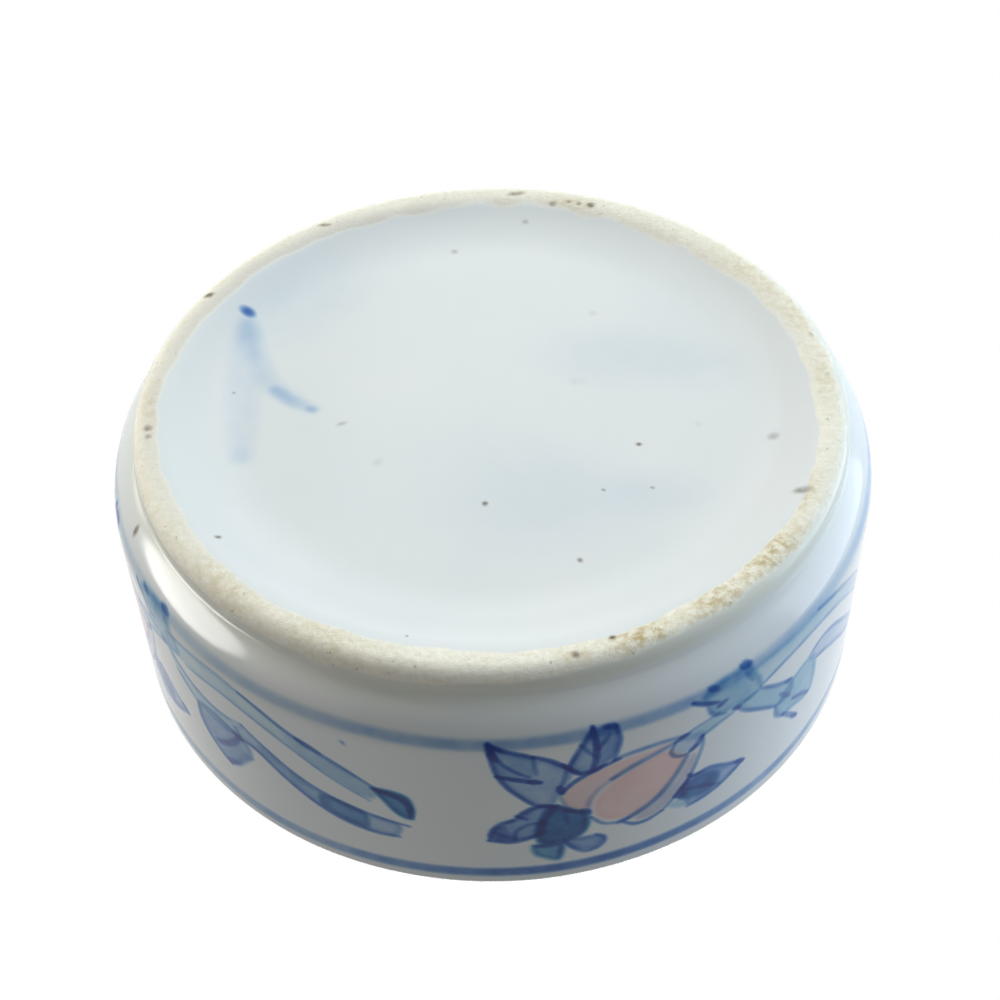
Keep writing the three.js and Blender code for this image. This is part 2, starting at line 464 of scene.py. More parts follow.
def paint_right_leaf(art):
    """The dark leaf to the right of the bud."""
    art.wash([(17.8, 16.9), (20, 17.1), (22, 18.1), (24.2, 19.2), (22, 20.7), (20.4, 21.3), (18.2, 21.6),
              (17.6, 20.4), (16.8, 19.4)], 0.38, "cobalt", 0.5)
    art.wash([(17.2, 17.8), (19.4, 17.4), (21.2, 18.4), (21.4, 19.8), (20.4, 20.8), (18.4, 20.6),
              (17, 19.4)], 0.7, "teal", 0.9, 0.0)
    art.line([(17.8, 16.4), (18.4, 17), (20.2, 17), (22.4, 18.2), (24.5, 19.3)], 0.5, 0.5)
    art.line([(23.6, 18.8), (24.4, 19.4)], 0.9, 0.42)
    art.line([(24.4, 19.4), (22, 20.8), (20.2, 21.4), (18, 21.7)], 0.5, 0.5)
    art.line([(16.5, 19), (17.6, 19.4)], 0.9, 0.5)
    art.line([(17.4, 18.6), (19.4, 19.4), (21.6, 20.7)], 0.6, 0.34)
    art.line([(16.6, 18.7), (17.6, 17.6), (18.1, 16.4)], 0.5, 0.42)
    art.wash([(15.8, 20.2), (17.4, 19.8), (18.2, 21.4), (17, 21.2)], 0.2, "teal", 0.7, 0.0)


def paint_stem(art):
    """The stem from the bud's cup, with the small leaf where it meets the upper line."""
    art.wash([(16.8, 10.4), (19, 9.4), (21.5, 9.2), (23, 9.9), (20.8, 10.8), (18.8, 11.4)],
             0.2, "teal", 0.8, 0.0)
    art.line([(16.4, 10.1), (18.4, 9.4), (20.6, 9)], 0.35, 0.28)
    art.line([(18.9, 11.2), (20.5, 10.6), (22.4, 10.2)], 0.35, 0.22)
    art.wash([(18.6, 5.7), (20, 4.9), (22, 4.7), (24, 4.8), (24.8, 6.2), (25.6, 7.6), (25.7, 9.2),
              (24, 9.9), (22.4, 9.4), (20.8, 9.4), (19.6, 8.6), (19.2, 7.2)], 0.33, "teal", 0.7)
    art.wash([(20.2, 6.9), (22.4, 6), (24.2, 7.8), (23.6, 9.4), (21.4, 9), (20.2, 8.2)],
             0.08, "teal", 1.0, 0.0)
    art.wash([(19.4, 5), (24, 4.8), (24.4, 6), (21.6, 6.2)], 0.05, "cobalt", 0.9, 0.0)
    art.line([(17.7, 5.8), (19, 6.6), (20.4, 7.3)], 0.5, 0.7)
    art.line([(20.5, 7.9), (21.3, 7.6)], 0.8, 0.5)
    art.line([(19.5, 5.1), (20.3, 5.5)], 0.7, 0.45)
    art.line([(23.2, 4.7), (24.2, 4.9)], 0.9, 0.5)
    art.line([(23.6, 5.6), (24.4, 7.1)], 0.5, 0.22)
    art.line([(22.4, 9.6), (23.1, 9.9)], 0.8, 0.6)
    art.line([(19.2, 7.2), (20, 8.8), (21.4, 9.6)], 0.4, 0.25)


def paint_short_blades(art):
    """Two pale grass blades that arch away from the stem, and the two small leaves between them."""
    art.wash([(24.6, 5.6), (30, 5.4), (36, 5.6), (40, 7.6), (44, 10.6), (47.5, 14), (45.5, 13.6),
              (42, 10.8), (38, 8.8), (33.5, 7.7), (29.5, 8), (26.4, 8.9), (25, 8.4)], 0.17, "teal", 0.9)
    art.line([(25.6, 9), (28, 8.2), (31, 7.8), (34, 7.8), (37, 8.5), (40, 9.9), (43.5, 12.4), (46.5, 15)],
             0.5, 0.26)
    art.line([(34, 5.6), (37, 6.3), (40, 7.5), (44, 10.2), (47, 13)], 0.45, 0.22)

    art.wash([(23, 9.6), (25.6, 9.2), (28, 10.8), (30.2, 12), (31, 13.4), (30.4, 14.6), (28.4, 14.6),
              (26, 12.9), (24, 11.3)], 0.3, "teal", 0.6)
    art.line([(22.8, 9.9), (24, 11.2), (26, 12.7), (28.3, 14.4)], 0.45, 0.36)
    art.line([(25.7, 9.3), (28, 10.9), (30.4, 12.2)], 0.45, 0.3)
    art.line([(29.5, 11.8), (30.4, 12.2)], 0.7, 0.34)
    art.line([(28.8, 13), (30.5, 14.8)], 0.6, 0.28)

    art.wash([(28.5, 14.4), (30.4, 12.4), (33, 11.6), (34.6, 13), (35.1, 15.4), (34.8, 17.8),
              (33.6, 18.2), (31.6, 17.6), (29.8, 17.3), (28.6, 16)], 0.36, "teal", 0.7)
    art.line([(28.3, 14.4), (28.6, 16), (29.9, 17.3)], 0.5, 0.36)
    art.line([(29.7, 16.9), (31, 18.3), (32.5, 19.9)], 0.6, 0.45)
    art.line([(31.5, 19), (32.4, 19.8)], 0.8, 0.3)
    art.line([(31.2, 15.9), (32.8, 16.8), (34.2, 17.9)], 0.6, 0.4)

    art.wash([(33.4, 11.4), (35.6, 10.8), (38.4, 11.8), (42, 14.6), (46, 18.2), (48, 20), (45.4, 19.8),
              (42, 17.6), (38.6, 15), (35, 13.4)], 0.22, "cobalt", 0.7)
    art.line([(33.2, 11.6), (35.4, 10.9), (38, 11.8), (41, 14), (44.5, 17), (47.5, 19.6)], 0.5, 0.24)
    art.line([(34.8, 13.3), (37, 14.2), (40, 16), (43, 18.2), (46, 20.2)], 0.5, 0.28)


def paint_long_blades(art):
    """The same group in the neighbouring spray: a blade with a dark tip, a second one and a hooked leaf."""
    art.wash([(24, 7.2), (30, 6.9), (35, 7.3), (40, 9.6), (45, 11.8), (48, 13.8), (47.4, 15.6),
              (43.6, 13.9), (39.6, 11.7), (35.6, 10.1), (31.6, 9.4), (27, 9.7), (24, 9.6)],
             0.15, "teal", 0.6)
    art.wash([(39, 9.8), (43, 11), (47.6, 13.9), (47.2, 15.4), (43.4, 13.4), (40, 11.4)],
             0.12, "cobalt", 0.9, 0.0)
    art.line([(24, 7.2), (28, 6.9), (32, 6.8), (35.4, 7.5)], 0.4, 0.24)
    art.line([(34.4, 7.3), (36.5, 8), (39.7, 9.5), (42, 10.4), (45, 11.8), (48, 13.6)], 0.55, 0.5)
    art.line([(40.6, 9.9), (42.8, 10.7)], 0.9, 0.35)
    art.line([(26.7, 9.8), (31.7, 9.4), (35.7, 10.2), (39.7, 11.8), (43.7, 14), (47.4, 15.9)], 0.35, 0.28)
    art.wash([(47.9, 13.8), (49.6, 13.5), (51.2, 14.2), (51.6, 16), (51.2, 17.6), (50, 17.2),
              (48.8, 15.6)], 0.95, "teal", 0.6)
    art.line([(47.8, 13.8), (50.2, 14.5), (51.2, 15.7), (51.3, 17.4)], 0.8, 0.6)

    art.wash([(33.9, 12.7), (36.2, 13.9), (39.7, 15.9), (42.7, 17.1), (45.7, 17.9), (50, 18.7),
              (49.8, 20.7), (47.7, 20.8), (44.7, 20.3), (41.7, 19.1), (38.7, 17.3), (35.7, 15.3),
              (33.7, 14.8), (32.6, 13.8)], 0.3, "cobalt", 0.5)
    art.wash([(36, 14.2), (40, 16.2), (43, 17.4), (42.6, 19.2), (39.4, 17.4), (36, 15.2)],
             0.16, "teal", 0.7, 0.0)
    art.wash([(42.6, 17.2), (46.7, 18), (46.9, 20.4), (44.6, 20.2), (42.2, 19.1)], 0.52, "teal", 0.6)
    art.wash([(23.4, 9.6), (26.8, 12), (30, 13), (32.6, 13), (33.4, 14.6), (31, 15.4), (27.4, 14.6),
              (24.4, 12.2)], 0.22, "teal", 0.7)
    art.line([(23.7, 10.2), (26.7, 12), (29.7, 12.9), (32.2, 12.9), (33.9, 12.5)], 0.4, 0.34)
    art.line([(33.9, 12.5), (36.2, 13.8), (39.7, 15.8), (42.7, 17), (45.7, 17.8), (48.7, 18.4),
              (51, 18.8)], 0.42, 0.5)
    art.line([(24.4, 12.4), (27.3, 14.7)], 0.4, 0.32)
    art.line([(33.5, 14.9), (35.7, 15.4), (38.7, 17.4), (41.7, 19.2), (44.7, 20.4), (47.7, 20.9),
              (49.9, 20.8)], 0.5, 0.58)

    art.wash([(27.3, 15), (27.5, 17), (28.3, 18.8), (29.7, 20.2), (31.1, 20.9), (32.4, 20), (33.2, 18.6),
              (34.6, 17), (34.3, 15.4), (32.6, 14.4), (30, 13.8), (28, 14)], 0.44, "cobalt", 0.6)
    art.line([(27.4, 14.6), (27.4, 17), (28.4, 18.9), (30, 20.4), (31.1, 21)], 0.5, 0.5)
    art.line([(31, 21), (32.3, 20), (33.2, 18.8), (34.6, 17.2)], 0.5, 0.4)
    art.line([(33.3, 14.8), (32.2, 16.6), (30.6, 18.1), (29.4, 18.7)], 0.85, 0.5)
    art.line([(32.6, 14.9), (33.5, 15.1)], 1.1, 0.5)
    art.line([(30.8, 20.6), (32, 19.8)], 0.8, 0.28)


def paint_spray(art, number):
    """One spray: bud, leaves, stem and blades. Neighbouring sprays differ in their blades."""
    art.shift = number * SPRAY_PITCH
    paint_left_leaf(art)
    paint_top_leaf(art)
    paint_lower_leaves(art)
    paint_right_leaf(art)
    paint_bud(art)
    paint_stem(art)
    if number % 2 == 0:
        paint_short_blades(art)
    else:
        paint_long_blades(art)


# The two lines round the wall

def band(height, centre, half, soft):
    """1 on a level line round the piece and 0 away from it, with soft edges."""
    return 1 - smoothstep(half - soft / 2, half + soft, np.abs(height - centre))


def brush_load(angle):
    """How full the brush is round the wall: it was dipped at a few places and ran drier between them."""
    fullest = np.max([np.exp(-((angle - dip) / 0.5) ** 2) for dip in BRUSH_DIPS], 0)
    return DRY_BRUSH + (1 - DRY_BRUSH) * fullest + 0.04 * np.sin(17 * angle)


def paint_lines(art, angle, height):
    """The upper and the lower line, each a little uneven in height as a hand draws them."""
    everywhere = np.arange(len(height))
    load = brush_load(angle)
    upper = UPPER_LINE + 0.3 * np.cos(2 * angle) + 0.06 * np.sin(11 * angle + 2.1)
    lower = LOWER_LINE - 0.3 * np.sin(angle) + 0.06 * np.sin(9 * angle + 0.5)
    art.lay("cobalt", everywhere, 0.36 * load * band(height, upper, 0.45, 0.5))
    art.lay("cobalt", everywhere, 0.78 * load * band(height, lower, 0.5, 0.45))


def paint_wall(radius, angle, z):
    """Pigment on the outside of the body, from the shoulder to the rim, with one stray touch of the brush.
    The last spray crosses the seam at the back, so it is painted from both of the seam's sides."""
    height = z - CHART_BASE
    art = Painting(np.stack([angle * WALL_RADIUS, height], 1))
    for number in range(-SPRAYS // 2, SPRAYS // 2 + 1):
        paint_spray(art, number)
    art.shift = 0.0
    paint_lines(art, angle, height)
    art.line([(-14.3, 7.7), (-14.1, 8)], 0.5, 0.3)
    outside = (radius > WALL_RADIUS - PAINT_DEPTH) & (z > FOOT_HEIGHT + PAINT_START)
    return {name: layer * outside for name, layer in art.layers.items()}


# Marks on the underside. Places are in plan, as the photograph has them: x to its right, y away from it.
# Each mark has its centre, its half width, its stretch, its turn in degrees and, if not full, its amount.

DARK_SPOTS = [
    ((3.6, 33.0), 0.34, 2.6, 8, 0.75), ((7.5, 31.1), 0.42, 1.0, 0, 0.6), ((9.3, 31.2), 0.26, 1.0, 0, 0.6),
    ((10.4, 30.8), 0.26, 1.0, 0, 0.7), ((11.7, 30.5), 0.42, 1.0, 0), ((-17.7, 28.3), 0.28, 2.2, 10, 0.8),
    ((-29.3, 16.8), 0.36, 1.5, 25, 0.9), ((-33.4, -3.3), 0.42, 1.0, 0, 0.8),
    ((-33.2, -4.5), 0.3, 1.0, 0, 0.7), ((-33.9, -13.4), 0.3, 1.5, 60),
    ((28.8, -14.3), 0.42, 2.0, 5, 0.75), ((-25.3, -17.7), 0.2, 1.5, 0), ((6.7, -33.1), 0.3, 1.2, 10, 0.8),
    ((9.9, -31.3), 0.2, 1.5, 20), ((-7.8, -30.2), 0.14, 1.0, 0), ((33.4, 1.4), 0.2, 1.4, 80, 0.6),
    ((-0.8, -13.5), 0.27, 1.0, 0), ((14.2, -6.2), 0.23, 1.2, 0, 0.9), ((7.7, -21.0), 0.24, 1.0, 0),
    ((-25.7, 2.9), 0.16, 1.0, 0, 0.8), ((10.4, -12.2), 0.17, 1.0, 0), ((15.0, -12.1), 0.17, 1.0, 0, 0.7),
]

GREY_SPOTS = [
    ((27.2, -6.0), 0.42, 1.2, 30, 0.45), ((-3.5, 24.7), 0.32, 1.0, 40, 0.4),
    ((-14.7, -2.0), 0.24, 2.0, 20, 0.35), ((-11.0, -7.5), 0.4, 1.4, 50, 0.14),
    ((4.4, 28.9), 0.28, 1.2, 0, 0.4), ((11.0, 13.6), 0.35, 1.2, 0, 0.14), ((8.8, 3.0), 0.5, 1.4, 0, 0.1),
    ((20.2, -3.6), 0.3, 1.0, 0, 0.16), ((32.7, 7.5), 0.16, 2.4, 110, 0.5),
]

OCHRE_PATCHES = [
    ((24.6, -22.4), 1.5, 2.8, 45, 0.8), ((28.6, -15.0), 1.1, 2.2, 60, 0.6),
    ((19.4, -27.2), 1.3, 2.6, 35, 0.8), ((12.6, -31.2), 1.2, 2.6, 20, 0.85),
    ((6.8, -33.0), 0.8, 1.6, 10, 0.5), ((33.0, 1.4), 1.0, 3.4, 88, 0.35),
    ((31.5, 10.9), 1.1, 2.6, 110, 0.4), ((9.2, 31.0), 0.9, 2.6, -8, 0.5),
    ((-23.9, -24.0), 1.2, 3.4, -45, 0.4), ((-33.4, 0.0), 0.9, 3.0, 90, 0.35),
    ((28.3, 17.0), 1.2, 4.0, 125, 0.35), ((-15.0, -30.0), 1.2, 3.2, -25, 0.4),
]

BLUE_HAZE = [
    ((-19.8, 17.6), 4.6, 1.5, 52, 0.03), ((15.6, 6.3), 3.4, 2.5, -8, 0.028),
    ((4.8, -13.1), 5.6, 1.15, 0, 0.028), ((14.9, -12.8), 2.6, 1.6, 0, 0.028),
    ((-24.3, -6.0), 0.9, 1.1, 0, 0.04), ((-24.8, 10.9), 1.3, 1.6, 90, 0.05),
]


def plan_from(radius, angle):
    """Places on the underside in plan, as the photograph has them."""
    return np.stack([radius * np.sin(angle), -radius * np.cos(angle)], 1)


def spot(points, centre, size, stretch=1.0, turn=0.0, soft=0.5):
    """A soft-edged oval, 1 in its middle."""
    away = points - np.array(centre)
    c = math.cos(math.radians(turn))
    s = math.sin(math.radians(turn))
    along = (away[:, 0] * c + away[:, 1] * s) / (size * stretch)
    across = (-away[:, 0] * s + away[:, 1] * c) / size
    return 1 - smoothstep(1 - soft, 1 + soft, np.hypot(along, across))


def strongest(points, marks, soft):
    """The strongest of several soft spots at each point. A mark's fifth value, if any, is its amount."""
    result = np.zeros(len(points))
    for centre, size, stretch, turn, *amount in marks:
        scale = amount[0] if amount else 1.0
        result = np.maximum(result, scale * spot(points, centre, size, stretch, turn, soft))
    return result


def paint_underside(radius, angle, z):
    """Blue haze and a trailing brush mark on the base, iron spots, and ochre stains on the bare ring.
    The inner floor lies over the base, so the marks are kept to what is seen from below."""
    plan = plan_from(radius, angle)
    base = z < RECESS_DEPTH + 0.1
    foot = (radius > INNER_RADIUS) & (z < MARKS_TOP)
    below = base | foot
    art = Painting(plan)
    everywhere = np.arange(len(z))
    for centre, size, stretch, turn, amount in BLUE_HAZE:
        art.lay("cobalt", everywhere, amount * spot(plan, centre, size, stretch, turn, 0.8))
    art.line([(-25.2, 12.6), (-25.0, 6), (-24.7, 1), (-24.3, -6.2)], 3.2, 0.035, soft=1.3)
    art.line([(-25.1, 13.4), (-24.5, 10.8), (-23.2, 6.6), (-21.9, 3.8), (-19.7, 1.7)],
             1.6, 0.065, soft=1.3)
    art.line([(-21.6, 3.2), (-19.7, 1.5), (-17.6, 0.2)], 1.0, 0.11, soft=0.9)
    art.lay("cobalt", everywhere, 0.16 * spot(plan, (-17.8, 0.2), 0.4, 1.3, -20, 0.8))
    art.lay("cobalt", everywhere, 0.8 * spot(plan, (-25.2, 14.9), 0.5, 1.5, -40, 0.75))
    dark = np.maximum(strongest(plan, DARK_SPOTS, 0.6), strongest(plan, GREY_SPOTS, 0.8))
    ochre = strongest(plan, OCHRE_PATCHES, 0.9)
    return {"cobalt": art.layers["cobalt"] * below, "dark": dark * below, "ochre": ochre * below}


def waves(angle, *parts):
    """A sum of waves round the ring. Each part has its height, its number of waves and its phase."""
    return sum(height * np.sin(count * angle + phase) for height, count, phase in parts)


def clay_outer_edge(angle):
    """How high up the foot's outside the clay is bare. It was wiped widest on one side of the bud."""
    wavy = waves(angle, (0.1, 5, 2), (0.07, 23, 0), (0.05, 41, 1))
    return 0.3 + 1.3 * np.exp(-((angle + 0.6) / 0.75) ** 2) + wavy


def clay_inner_edge(angle):
    """The radius where the clay is bare. The wiped band is narrowest beside the bud, widest opposite."""
    wavy = waves(angle, (0.14, 7, 0), (0.1, 19, 1), (0.06, 47, 0))
    leaning = 0.91 * np.cos(angle) - 0.42 * np.sin(angle)
    oval = 0.23 * np.sin(2 * angle) - 0.3 * np.cos(2 * angle)
    return CLAY_INNER_RADIUS + leaning + oval + wavy


def bare_ring(radius, angle, z):
    """Where the glaze was wiped off the foot."""
    softness = 0.28 - 0.12 * np.cos(angle - 0.6)
    ring = smoothstep(-softness, softness, radius - clay_inner_edge(angle))
    return ring * (1 - smoothstep(-0.15, 0.15, z - clay_outer_edge(angle))) * (radius < FOOT_RADIUS + 0.6)


def clay_painted_shade(radius, angle):
    """Painted shade on the bare clay, greyest along its inner edge, where the ring slopes away from the
    light, and strongest away from the bud.
    """
    amount = 0.45 - 0.45 * np.cos(angle - 0.5)
    return amount * (1 - 0.65 * smoothstep(0.4, 2.6, radius - clay_inner_edge(angle)))


def thin_glaze(radius, angle, z):
    """The glaze is thin and creamy where it starts outside the foot, and whitens as it thickens."""
    start = clay_outer_edge(angle)
    outside = (radius > FOOT_RADIUS - FOOT_OUTER_ROUND) & (z < SHOULDER_TOP)
    return outside * (1 - smoothstep(0.3, 3.4, z - start))


def paint_body(radius, angle, z):
    """All the body's layers. The rim is bare where the lid rests on it."""
    wall = paint_wall(radius, angle, z)
    under = paint_underside(radius, angle, z)
    rim_seat = smoothstep(INNER_RADIUS + 0.3, INNER_RADIUS + 0.6, radius) * (z > BODY_HEIGHT - 0.02)
    bare = np.maximum(bare_ring(radius, angle, z), rim_seat)
    clear = 1 - bare
    return {
        "cobalt": (wall["cobalt"] + under["cobalt"]) * clear,
        "teal": wall["teal"] * clear,
        "pink": wall["pink"] * clear,
        "bare": bare,
        "thin": thin_glaze(radius, angle, z) * clear,
        # Painted shade on the bare clay, along its inner edge and at the back
        "painted_clay_shade": clay_painted_shade(radius, angle) * bare,
        "dark": under["dark"],
        "ochre": under["ochre"] * bare,
    }


# The lid's decoration. Places are in millimetres in plan, seen from above, before their turn.

def turn_by(angle):
    """A function that turns plan points about the lid's middle."""
    c = math.cos(angle)
    s = math.sin(angle)
    rotation = np.array([[c, s], [-s, c]])
    return lambda points: np.array(points) @ rotation


def paint_petal(art, turned_to):
    shape = [(1.6, -0.8), (4.5, -3.4), (8.2, -3.2), (9.6, 0), (8.2, 3.2), (4.5, 3.4), (1.6, 0.8)]
    outline = turned_to(shape)
    art.wash(outline, 0.85, "pink", 0.8, 0.1)
    art.line(outline, 0.45, 0.5)
    for side in (-1.2, 0, 1.2):
        art.line(turned_to([(2, side * 0.4), (5.5, side)]), 0.3, 0.35)


def paint_lid_leaf(art, turned_to):
    outline = turned_to([(9, 5), (12, 4.4), (15.5, 6.4), (17.5, 9.6), (13.6, 9.4), (10.4, 7.8)])
    art.wash(outline, 0.5, "teal", 0.5)
    art.line(np.vstack([outline, outline[:1]]), 0.45, 0.6)
    art.line(turned_to([(9.4, 5.4), (13, 7), (16.6, 9)]), 0.4, 0.5)
    art.line(turned_to([(11.6, 6.3), (12.6, 5.2)]), 0.35, 0.4)
    art.line(turned_to([(13.4, 7.3), (14.6, 6.2)]), 0.35, 0.4)


def paint_lid_blade(art, turned_to):
    art.line(turned_to([(15.6, 5.4), (19, 2.6), (23.6, 1.6), (28, 4)]), 1.3, 0.3, "teal", 0.6)
    art.line(turned_to([(15.4, 6), (19, 3.4), (23.6, 2.4), (28.2, 4.4)]), 0.4, 0.45)
    art.line(turned_to([(15.8, 4.9), (19, 1.9), (23.6, 0.9), (28.2, 3.8)]), 0.4, 0.35)


def paint_lid_bud(art, turned_to):
    outline = turned_to([(20, -6), (23, -8.4), (26.4, -7.4), (26, -4.4), (22.6, -3.8)])
    art.wash(outline, 0.8, "pink", 0.7, 0.1)
    art.line(np.vstack([outline, outline[:1]]), 0.4, 0.45)
    art.line(turned_to([(20.6, -6), (23.4, -6.6), (26, -5.8)]), 0.35, 0.35)
    art.line(turned_to([(9.6, -1.6), (12.4, -3.2), (16, -5.2), (20, -6)]), 0.5, 0.5)


def paint_lid_flower(art):
    """An open pink flower in the middle of the lid, with a leaf, a blade and a bud beyond each petal."""
    for k in range(PETALS):
        turned_to = turn_by(2 * math.pi * k / PETALS + FIRST_PETAL)
        for paint in (paint_petal, paint_lid_leaf, paint_lid_blade, paint_lid_bud):
            paint(art, turned_to)
    art.wash([(1.5, 0), (0, 1.5), (-1.5, 0), (0, -1.5)], 0.6, "cobalt", 0.5)


def paint_lid(radius, angle, z):
    """A flower in the middle, which shows in the hollow underneath too, two blue lines near the edge, and
    a bare seat and flange."""
    art = Painting(np.stack([-radius * np.sin(angle), -radius * np.cos(angle)], 1))
    paint_lid_flower(art)
    everywhere = np.arange(len(z))
    wobble = 0.1 * np.sin(angle * 4 + 1.1)
    edge = radius > LID_RADIUS - 0.3
    art.lay("cobalt", everywhere, 0.5 * band(radius + wobble, LID_RADIUS - LID_DOME_LINE, 0.45, 0.6))
    art.lay("cobalt", everywhere, 0.7 * band(z - 0.3 * wobble, SEAT + LID_EDGE_LINE, 0.35, 0.4) * edge)
    shown = (z > SEAT + 1) | edge
    seat = (np.abs(z - SEAT) < 0.05) & (radius > FLANGE_OUTER - 0.1)
    flange = (z < SEAT + 0.02) & (radius > FLANGE_INNER + 0.3)
    layers = {name: layer * shown for name, layer in art.layers.items()}
    layers["bare"] = (seat | flange).astype(float)
    # The lid has no painted clay shade, thin glaze, spots or stains, so these layers are empty
    for name in ("thin", "painted_clay_shade", "dark", "ochre"):
        layers[name] = np.zeros(len(z))
    return layers


# Meshes

def turned_faces(rings):
    """Quads between neighbouring rings and a fan at each end, where the poles are the last two points."""
    this = np.arange(TURN_STEPS)
    after = np.roll(this, -1)
    faces = []
    for ring in range(rings - 1):
        low = ring * TURN_STEPS
        high = low + TURN_STEPS
        faces += np.stack([low + this, high + this, high + after, low + after], 1).tolist()
    last = (rings - 1) * TURN_STEPS
    first_pole = rings * TURN_STEPS
    faces += [(first_pole, a, b) for a, b in zip(this.tolist(), after.tolist())]
    faces += [(first_pole + 1, last + b, last + a) for a, b in zip(this.tolist(), after.tolist())]
    return faces


def turned(name, profile, paint):
    """A closed surface of revolution whose profile starts and ends on the axis, with a value of each
    paint layer on every point. The angle grows to the photograph's right, from in front of the bud."""
    rings = [point for point in without_repeats(profile) if point[0] > AXIS_GAP]
    turns = np.arange(TURN_STEPS) * 2 * math.pi / TURN_STEPS - math.pi
    radius = np.repeat([r for r, _ in rings], TURN_STEPS)
    height = np.repeat([z for _, z in rings], TURN_STEPS)
    angle = np.tile(turns, len(rings))
    radius = np.concatenate([radius, [0, 0]])
    height = np.concatenate([height, [profile[0][1], profile[-1][1]]])
    angle = np.concatenate([angle, [0, 0]])
    points = np.stack([-radius * np.sin(angle), -radius * np.cos(angle), height], 1) * MM

    mesh = bpy.data.meshes.new(name)
    mesh.from_pydata(points.tolist(), [], turned_faces(len(rings)))
    mesh.polygons.foreach_set("use_smooth", np.ones(len(mesh.polygons), bool))
    for layer, values in paint(radius, angle, height).items():
        attribute = mesh.attributes.new(layer, "FLOAT", "POINT")
        attribute.data.foreach_set("value", values.astype(np.float32))
    mesh.update()
    piece = bpy.data.objects.new(name, mesh)
    bpy.context.scene.collection.objects.link(piece)
    return piece


# Materials. A noise of scale 1000 has patches of about a millimetre.

class Nodes:
    """Short helpers for a material's node tree."""

    def __init__(self, material):
        material.use_nodes = True
        self.tree = material.node_tree
        self.tree.nodes.clear()

    def add(self, kind, **values):
        node = self.tree.nodes.new(kind)
        for key, value in values.items():
            setattr(node, key, value)
        return node

    def link(self, start, end):
        self.tree.links.new(start, end)

    def layer(self, name):
        return self.add("ShaderNodeAttribute", attribute_name=name).outputs["Fac"]

    def noise(self, scale, detail=3.0, rough=0.55):
        place = self.add("ShaderNodeTexCoord").outputs["Object"]
        node = self.add("ShaderNodeTexNoise")
        node.inputs["Scale"].default_value = scale
        node.inputs["Detail"].default_value = detail
        node.inputs["Roughness"].default_value = rough
        self.link(place, node.inputs["Vector"])
        return node.outputs["Fac"]

    def map(self, value, low, high, out_low, out_high, kind="LINEAR"):
        node = self.add("ShaderNodeMapRange", interpolation_type=kind)
        node.inputs["From Min"].default_value = low
        node.inputs["From Max"].default_value = high
        node.inputs["To Min"].default_value = out_low
        node.inputs["To Max"].default_value = out_high
        self.link(value, node.inputs["Value"])
        return node.outputs["Result"]

    def times(self, a, b):
        node = self.add("ShaderNodeMath", operation="MULTIPLY")
        self.link(a, node.inputs[0])
        self.link(b, node.inputs[1])
        return node.outputs["Value"]

    def mix(self, amount, a, b, blend="MIX"):
        node = self.add("ShaderNodeMix", data_type="RGBA", blend_type=blend)
        for socket, value in zip((node.inputs[0], node.inputs[6], node.inputs[7]), (amount, a, b)):
            if isinstance(value, tuple):
                socket.default_value = (*value, 1.0)
            elif isinstance(value, (int, float)):
                socket.default_value = value
            else:
                self.link(value, socket)
        return node.outputs[2]

    def stained(self, colour, pigment, load):
        """The colour seen through a pigment, which lets less light by the fuller the brush was."""
        filter_node = self.add("ShaderNodeGamma")
        filter_node.inputs["Color"].default_value = (*pigment, 1.0)
        self.link(load, filter_node.inputs["Gamma"])
        return self.mix(1.0, colour, filter_node.outputs["Color"], "MULTIPLY")

    def bump(self, height, distance, strength, below=None):
        node = self.add("ShaderNodeBump")
        node.inputs["Distance"].default_value = distance
        self.link(height, node.inputs["Height"])
        if isinstance(strength, float):
            node.inputs["Strength"].default_value = strength
        else:
            self.link(strength, node.inputs["Strength"])
        if below:
            self.link(below, node.inputs["Normal"])
        return node.outputs["Normal"]


def glaze_colour(n, cloud):
    """The glaze with the three pigments under it."""
    colour = n.mix(n.map(cloud, 0.35, 0.65, 0, 1), GLAZE, GLAZE_CLOUD)
    colour = n.mix(n.layer("thin"), colour, THIN_GLAZE, "MULTIPLY")
    pooling = n.map(n.noise(420, 3), 0.3, 0.7, 0.78, 1.2)
    blush = n.map(n.noise(300, 2), 0.3, 0.7, 0.85, 1.1)
    colour = n.stained(colour, PINK, n.times(n.layer("pink"), blush))
    colour = n.stained(colour, TEAL, n.times(n.layer("teal"), pooling))
    return n.stained(colour, COBALT, n.times(n.layer("cobalt"), pooling))


def biscuit_colour(n, grain, bare):
    """Unglazed clay: cream with shade in its grain, painted shade along its inner edge and at the back,
    ochre stains and fine iron specks.
    """
    coarse = n.map(n.noise(520, 4, 0.7), 0.35, 0.65, 0.35, 1.0)
    colour = n.mix(n.times(n.map(grain, 0.35, 0.65, 0, 1), coarse), BISCUIT, BISCUIT_SHADE)
    # Painted shade: the clay greys along its inner edge and at the back, where the ring turns from the
    # light
    colour = n.mix(n.layer("painted_clay_shade"), colour, BISCUIT_PAINTED_SHADE)
    patchy = n.map(n.noise(1100, 4, 0.7), 0.42, 0.62, 0.15, 1.0)
    colour = n.mix(n.times(n.layer("ochre"), patchy), colour, OCHRE)
    specks = n.map(n.noise(1500, 2), 0.68, 0.74, 0.0, 0.35)
    return n.mix(n.times(specks, bare), colour, IRON)


